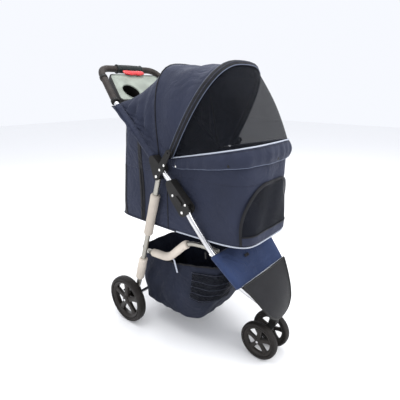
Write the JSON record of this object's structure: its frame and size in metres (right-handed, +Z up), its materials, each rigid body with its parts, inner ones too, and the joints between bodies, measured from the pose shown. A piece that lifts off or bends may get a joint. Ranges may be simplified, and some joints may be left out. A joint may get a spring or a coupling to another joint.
{
  "type": "pet stroller",
  "caption": "Folding three-wheel pet stroller: zipped fabric cabin with mesh canopy window, cup tray, under-basket and swivelling front caster.",
  "frame": {"origin": "on the floor, under the middle of the overall box", "axes": "+Z up; -Y is the way the stroller rolls; +X is the left side of the person pushing it"},
  "size_m": [0.448, 0.784, 1.02],
  "materials": {
    "frame_steel": "satin silver lacquer on steel tube",
    "rivet_steel": "bright plated rivets",
    "foam": "matte closed-cell foam sleeve, warm beige",
    "black_plastic": "fine-grained black moulding",
    "bow_rod": "black rod in a woven binding",
    "handle_foam": "dark padded covering",
    "red_plastic": "smooth red moulding",
    "tray_plastic": "pale grey-green moulding",
    "navy_fabric": "navy polyester canvas, plain weave",
    "basket_fabric": "dark navy polyester, plain weave",
    "black_mesh": "open black polyester mesh",
    "tyre": "moulded foam rubber tread",
    "wheel_plastic": "dark moulded rim",
    "board": "stiff floor board"
  },
  "bodies": {
    "root": {"handle_tube_left": "frame_steel", "handle_tube_right": "frame_steel", "side_pin_left": "rivet_steel", "side_pin_right": "rivet_steel", "lock_pin_left": "rivet_steel", "lock_pin_right": "rivet_steel", "pivot_bracket_left": "black_plastic", "pivot_bracket_right": "black_plastic", "lock_housing_left": "black_plastic", "lock_housing_right": "black_plastic", "tray_body": "black_plastic", "handle_grip": "black_plastic", "rear_bow": "bow_rod", "handle_loop": "handle_foam", "tray_top": "tray_plastic", "cabin_lower": "navy_fabric", "cabin_upper": "navy_fabric", "canopy_rear": "navy_fabric", "canopy_roof": "navy_fabric", "floor_cushion": "navy_fabric", "front_door": "black_mesh", "floor_board": "board"},
    "front_frame": {"front_tube_left": "frame_steel", "front_tube_right": "frame_steel", "front_shield": "black_plastic", "front_panel": "navy_fabric", "fork_head": "black_plastic"},
    "rear_frame": {"rear_leg_left": "frame_steel", "rear_leg_right": "frame_steel", "leg_foam_upper_left": "foam", "leg_foam_upper_right": "foam", "leg_foam_lower_left": "foam", "leg_foam_lower_right": "foam", "axle_bracket_left": "black_plastic", "axle_bracket_right": "black_plastic", "rear_axle": "frame_steel"},
    "side_links": {"side_link_left": "frame_steel", "side_link_right": "frame_steel", "link_foam_left": "foam", "link_foam_right": "foam", "link_pin_left": "rivet_steel", "link_pin_right": "rivet_steel", "basket": "basket_fabric"},
    "canopy_front": {"front_bow": "bow_rod", "canopy_window": "black_mesh"},
    "caster": {"caster_fork": "black_plastic", "front_axle": "frame_steel"},
    "front_wheel_left": {"front_tyre_left": "tyre", "front_rim_left": "wheel_plastic"},
    "front_wheel_right": {"front_tyre_right": "tyre", "front_rim_right": "wheel_plastic"},
    "rear_wheel_left": {"rear_tyre_left": "tyre", "rear_rim_left": "wheel_plastic"},
    "rear_wheel_right": {"rear_tyre_right": "tyre", "rear_rim_right": "wheel_plastic"},
    "trigger": {"fold_trigger": "red_plastic"},
    "latch_left": {"lock_latch_left": "black_plastic"},
    "latch_right": {"lock_latch_right": "black_plastic"},
    "brake_left": {"brake_lever_left": "black_plastic"},
    "brake_right": {"brake_lever_right": "black_plastic"}
  },
  "joints": [
    {"name": "fold", "type": "hinge", "parent": "root", "child": "front_frame", "pos_m": [0, -0.101, 0.548], "axis": [1, 0, 0], "range_deg": [0, 115], "deforming": ["cabin_lower", "floor_board", "floor_cushion", "front_door", "basket"]},
    {"name": "rear_leg_fold", "type": "hinge", "parent": "root", "child": "rear_frame", "pos_m": [0, 0.0135, 0.65], "axis": [1, 0, 0], "range_deg": [0, 72.2]},
    {"name": "side_link_fold", "type": "hinge", "parent": "front_frame", "child": "side_links", "pos_m": [0, -0.192, 0.415], "axis": [1, 0, 0], "range_deg": [-75.5, 0]},
    {"name": "canopy", "type": "hinge", "parent": "root", "child": "canopy_front", "pos_m": [0, -0.045, 0.735], "axis": [-1, 0, 0], "range_deg": [0, 42], "deforming": ["canopy_roof"]},
    {"name": "caster_swivel", "type": "hinge", "parent": "front_frame", "child": "caster", "pos_m": [0, -0.352, 0.15], "axis": [0, 0, 1], "continuous": true},
    {"name": "front_wheel_spin_left", "type": "hinge", "parent": "caster", "child": "front_wheel_left", "pos_m": [0.044, -0.321, 0.071], "axis": [1, 0, 0], "continuous": true},
    {"name": "front_wheel_spin_right", "type": "hinge", "parent": "caster", "child": "front_wheel_right", "pos_m": [-0.044, -0.321, 0.071], "axis": [1, 0, 0], "continuous": true},
    {"name": "rear_wheel_spin_left", "type": "hinge", "parent": "rear_frame", "child": "rear_wheel_left", "pos_m": [0.205, 0.212, 0.098], "axis": [1, 0, 0], "continuous": true},
    {"name": "rear_wheel_spin_right", "type": "hinge", "parent": "rear_frame", "child": "rear_wheel_right", "pos_m": [-0.205, 0.212, 0.098], "axis": [1, 0, 0], "continuous": true},
    {"name": "trigger_squeeze", "type": "hinge", "parent": "root", "child": "trigger", "pos_m": [0, 0.35254, 0.99681], "axis": [-1, 0, 0], "range_deg": [0, 14], "stiffness_Nm_per_rad": 1},
    {"name": "latch_slide_left", "type": "slide", "parent": "root", "child": "latch_left", "axis": [0, 0.75, 0.6614], "range_m": [0, 0.008]},
    {"name": "latch_slide_right", "type": "slide", "parent": "root", "child": "latch_right", "axis": [0, 0.75, 0.6614], "range_m": [0, 0.008]},
    {"name": "brake_press_left", "type": "hinge", "parent": "rear_frame", "child": "brake_left", "pos_m": [0.172, 0.2325, 0.104], "axis": [-1, 0, 0], "range_deg": [0, 16]},
    {"name": "brake_press_right", "type": "hinge", "parent": "rear_frame", "child": "brake_right", "pos_m": [-0.172, 0.2325, 0.104], "axis": [-1, 0, 0], "range_deg": [0, 16]}
  ],
  "couplings": [
    {"joint": "rear_leg_fold", "follows": "fold", "ratio": 0.62766},
    {"joint": "side_link_fold", "follows": "fold", "ratio": -0.6561},
    {"joint": "latch_slide_left", "follows": "trigger_squeeze", "m_per_rad": 0.0325},
    {"joint": "latch_slide_right", "follows": "trigger_squeeze", "m_per_rad": 0.0325}
  ]
}
